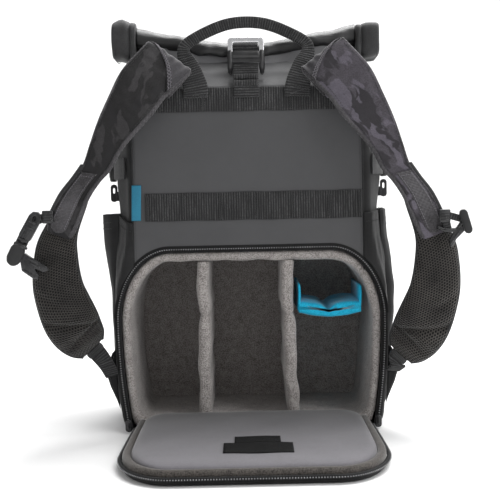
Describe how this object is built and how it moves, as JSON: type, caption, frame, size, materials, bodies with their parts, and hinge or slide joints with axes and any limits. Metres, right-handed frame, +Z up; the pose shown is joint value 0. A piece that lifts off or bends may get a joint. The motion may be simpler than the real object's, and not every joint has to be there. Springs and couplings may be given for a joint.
{
  "type": "camera backpack",
  "caption": "Roll-top camera backpack with harness-side door let down, padded cells with a folding shelf, folded shoulder straps, carry handle and side pockets.",
  "frame": {"origin": "middle of the body's base, on the floor", "axes": "+Z up, -Y the harness side with the let-down door, +X to the right seen from the harness side"},
  "size_m": [0.4688, 0.3752, 0.4374],
  "materials": {
    "coated_cloth": "smooth coated weave, semi-matte",
    "gusset_cloth": "matte packcloth",
    "webbing": "ribbed flat webbing",
    "camouflage_cloth": "matte printed cloth",
    "spacer_mesh": "open spacer mesh over foam",
    "brushed_lining": "brushed heather lining over foam",
    "door_pad_cloth": "smooth brushed cloth over foam",
    "teal_cloth": "brushed cloth, teal",
    "black_label": "flat woven label, left bare",
    "coil_zip": "nylon coil on woven tape",
    "black_plastic": "moulded acetal, satin",
    "hook_metal": "cast and tumbled, satin"
  },
  "bodies": {
    "root": {"bag_shell": "coated_cloth", "bag_roll": "gusset_cloth", "roll_cuff_left": "gusset_cloth", "roll_cuff_right": "gusset_cloth", "side_pocket_left": "gusset_cloth", "side_pocket_right": "gusset_cloth", "strap_wing_left": "gusset_cloth", "strap_wing_right": "gusset_cloth", "door_tray": "gusset_cloth", "web_band_upper": "webbing", "web_band_lower": "webbing", "carry_handle": "webbing", "closure_web_lower": "webbing", "closure_web_top": "webbing", "strap_rail_left": "webbing", "strap_rail_right": "webbing", "sternum_web_left": "webbing", "sternum_web_right": "webbing", "strap_web_left": "webbing", "strap_web_right": "webbing", "compression_web_left": "webbing", "compression_web_right": "webbing", "side_loop_left": "webbing", "side_loop_right": "webbing", "strap_yoke_left": "camouflage_cloth", "strap_yoke_right": "camouflage_cloth", "strap_pad_left": "spacer_mesh", "strap_pad_right": "spacer_mesh", "compartment_lining": "brushed_lining", "divider_left": "brushed_lining", "divider_right": "brushed_lining", "door_pad": "door_pad_cloth", "divider_shelf": "teal_cloth", "side_label": "teal_cloth", "door_label": "black_label", "door_label_small": "black_label", "zip_track_body": "coil_zip", "zip_track_door": "coil_zip", "zip_slider_left": "black_plastic", "zip_slider_right": "black_plastic", "closure_keeper": "black_plastic", "sternum_slider_left": "black_plastic", "sternum_slider_right": "black_plastic", "sternum_loop_left": "black_plastic", "sternum_clip_left": "black_plastic", "sternum_clip_right": "black_plastic", "strap_lock_left": "black_plastic", "strap_lock_right": "black_plastic", "compression_lock_left": "black_plastic", "compression_lock_right": "black_plastic", "closure_hook": "hook_metal"}
  },
  "joints": []
}
